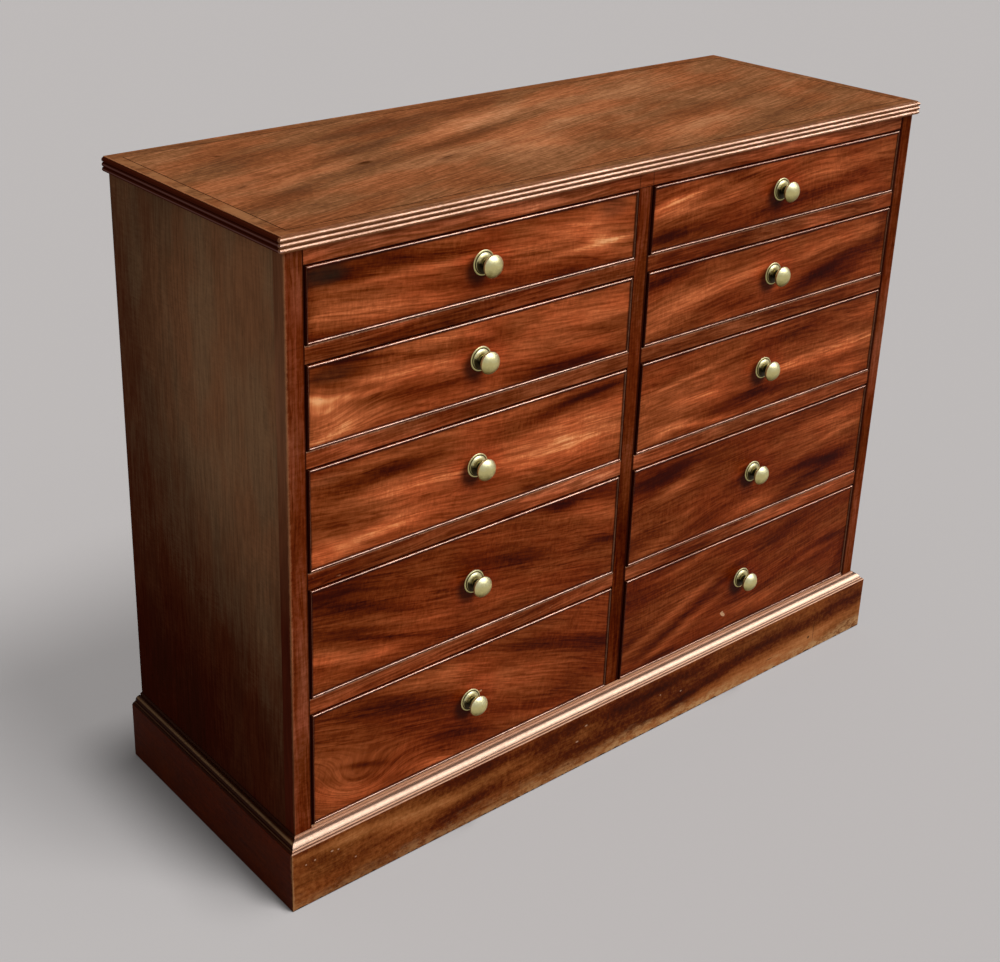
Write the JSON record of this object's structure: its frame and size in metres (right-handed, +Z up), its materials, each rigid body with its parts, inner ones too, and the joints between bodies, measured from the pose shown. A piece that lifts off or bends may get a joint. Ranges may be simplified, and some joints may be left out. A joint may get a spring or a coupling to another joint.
{
  "type": "chest of drawers",
  "caption": "Floor-standing mahogany chest with two columns of graduated sliding drawers, cock-beaded fronts, round brass knobs, a reeded top and a moulded plinth.",
  "frame": {"origin": "on the floor, under the middle of the overall box, which runs from the knobs at the front to the back edge of the top", "axes": "+X to the right as one faces the drawers, +Y towards the back, +Z up; the drawers open along -Y"},
  "size_m": [1.168, 0.435, 0.914],
  "materials": {
    "top_veneer": "waxed polish, worn",
    "top_banding": "waxed polish, worn",
    "dark_stringing": "waxed polish",
    "drawer_front_mahogany": "French polish, worn",
    "cock_bead_mahogany": "French polish, worn",
    "carcase_mahogany": "French polish, worn",
    "side_mahogany": "French polish, darkened",
    "plinth_mahogany": "French polish, chipped and worn",
    "oak_lining": "bare, aged",
    "pine_carcase": "bare, aged",
    "knob_brass": "aged polish"
  },
  "bodies": {
    "carcase": {"top_board": "top_veneer", "top_crossbanding": "top_banding", "top_string_line": "dark_stringing", "side_left": "side_mahogany", "side_right": "side_mahogany", "stile_left": "carcase_mahogany", "stile_right": "carcase_mahogany", "centre_muntin": "carcase_mahogany", "centre_partition": "pine_carcase", "top_rail": "carcase_mahogany", "drawer_dividers": "carcase_mahogany", "drawer_runners": "pine_carcase", "drawer_stops": "pine_carcase", "back_boards": "pine_carcase", "carcase_bottom": "pine_carcase", "plinth_front": "plinth_mahogany", "plinth_left": "plinth_mahogany", "plinth_right": "plinth_mahogany", "plinth_moulding": "plinth_mahogany", "glue_blocks": "pine_carcase"},
    "drawer_left_1": {"drawer_left_1_front": "drawer_front_mahogany", "drawer_left_1_box": "oak_lining", "drawer_left_1_cock_beads": "cock_bead_mahogany", "drawer_left_1_knob": "knob_brass"},
    "drawer_left_2": {"drawer_left_2_front": "drawer_front_mahogany", "drawer_left_2_box": "oak_lining", "drawer_left_2_cock_beads": "cock_bead_mahogany", "drawer_left_2_knob": "knob_brass"},
    "drawer_left_3": {"drawer_left_3_front": "drawer_front_mahogany", "drawer_left_3_box": "oak_lining", "drawer_left_3_cock_beads": "cock_bead_mahogany", "drawer_left_3_knob": "knob_brass"},
    "drawer_left_4": {"drawer_left_4_front": "drawer_front_mahogany", "drawer_left_4_box": "oak_lining", "drawer_left_4_cock_beads": "cock_bead_mahogany", "drawer_left_4_knob": "knob_brass"},
    "drawer_left_5": {"drawer_left_5_front": "drawer_front_mahogany", "drawer_left_5_box": "oak_lining", "drawer_left_5_cock_beads": "cock_bead_mahogany", "drawer_left_5_knob": "knob_brass"},
    "drawer_right_1": {"drawer_right_1_front": "drawer_front_mahogany", "drawer_right_1_box": "oak_lining", "drawer_right_1_cock_beads": "cock_bead_mahogany", "drawer_right_1_knob": "knob_brass"},
    "drawer_right_2": {"drawer_right_2_front": "drawer_front_mahogany", "drawer_right_2_box": "oak_lining", "drawer_right_2_cock_beads": "cock_bead_mahogany", "drawer_right_2_knob": "knob_brass"},
    "drawer_right_3": {"drawer_right_3_front": "drawer_front_mahogany", "drawer_right_3_box": "oak_lining", "drawer_right_3_cock_beads": "cock_bead_mahogany", "drawer_right_3_knob": "knob_brass"},
    "drawer_right_4": {"drawer_right_4_front": "drawer_front_mahogany", "drawer_right_4_box": "oak_lining", "drawer_right_4_cock_beads": "cock_bead_mahogany", "drawer_right_4_knob": "knob_brass"},
    "drawer_right_5": {"drawer_right_5_front": "drawer_front_mahogany", "drawer_right_5_box": "oak_lining", "drawer_right_5_cock_beads": "cock_bead_mahogany", "drawer_right_5_knob": "knob_brass"}
  },
  "joints": [
    {"name": "drawer_left_1_slide", "type": "slide", "parent": "carcase", "child": "drawer_left_1", "axis": [0, -1, 0], "range_m": [0, 0.28]},
    {"name": "drawer_left_2_slide", "type": "slide", "parent": "carcase", "child": "drawer_left_2", "axis": [0, -1, 0], "range_m": [0, 0.28]},
    {"name": "drawer_left_3_slide", "type": "slide", "parent": "carcase", "child": "drawer_left_3", "axis": [0, -1, 0], "range_m": [0, 0.28]},
    {"name": "drawer_left_4_slide", "type": "slide", "parent": "carcase", "child": "drawer_left_4", "axis": [0, -1, 0], "range_m": [0, 0.28]},
    {"name": "drawer_left_5_slide", "type": "slide", "parent": "carcase", "child": "drawer_left_5", "axis": [0, -1, 0], "range_m": [0, 0.28]},
    {"name": "drawer_right_1_slide", "type": "slide", "parent": "carcase", "child": "drawer_right_1", "axis": [0, -1, 0], "range_m": [0, 0.28]},
    {"name": "drawer_right_2_slide", "type": "slide", "parent": "carcase", "child": "drawer_right_2", "axis": [0, -1, 0], "range_m": [0, 0.28]},
    {"name": "drawer_right_3_slide", "type": "slide", "parent": "carcase", "child": "drawer_right_3", "axis": [0, -1, 0], "range_m": [0, 0.28]},
    {"name": "drawer_right_4_slide", "type": "slide", "parent": "carcase", "child": "drawer_right_4", "axis": [0, -1, 0], "range_m": [0, 0.28]},
    {"name": "drawer_right_5_slide", "type": "slide", "parent": "carcase", "child": "drawer_right_5", "axis": [0, -1, 0], "range_m": [0, 0.28]}
  ]
}
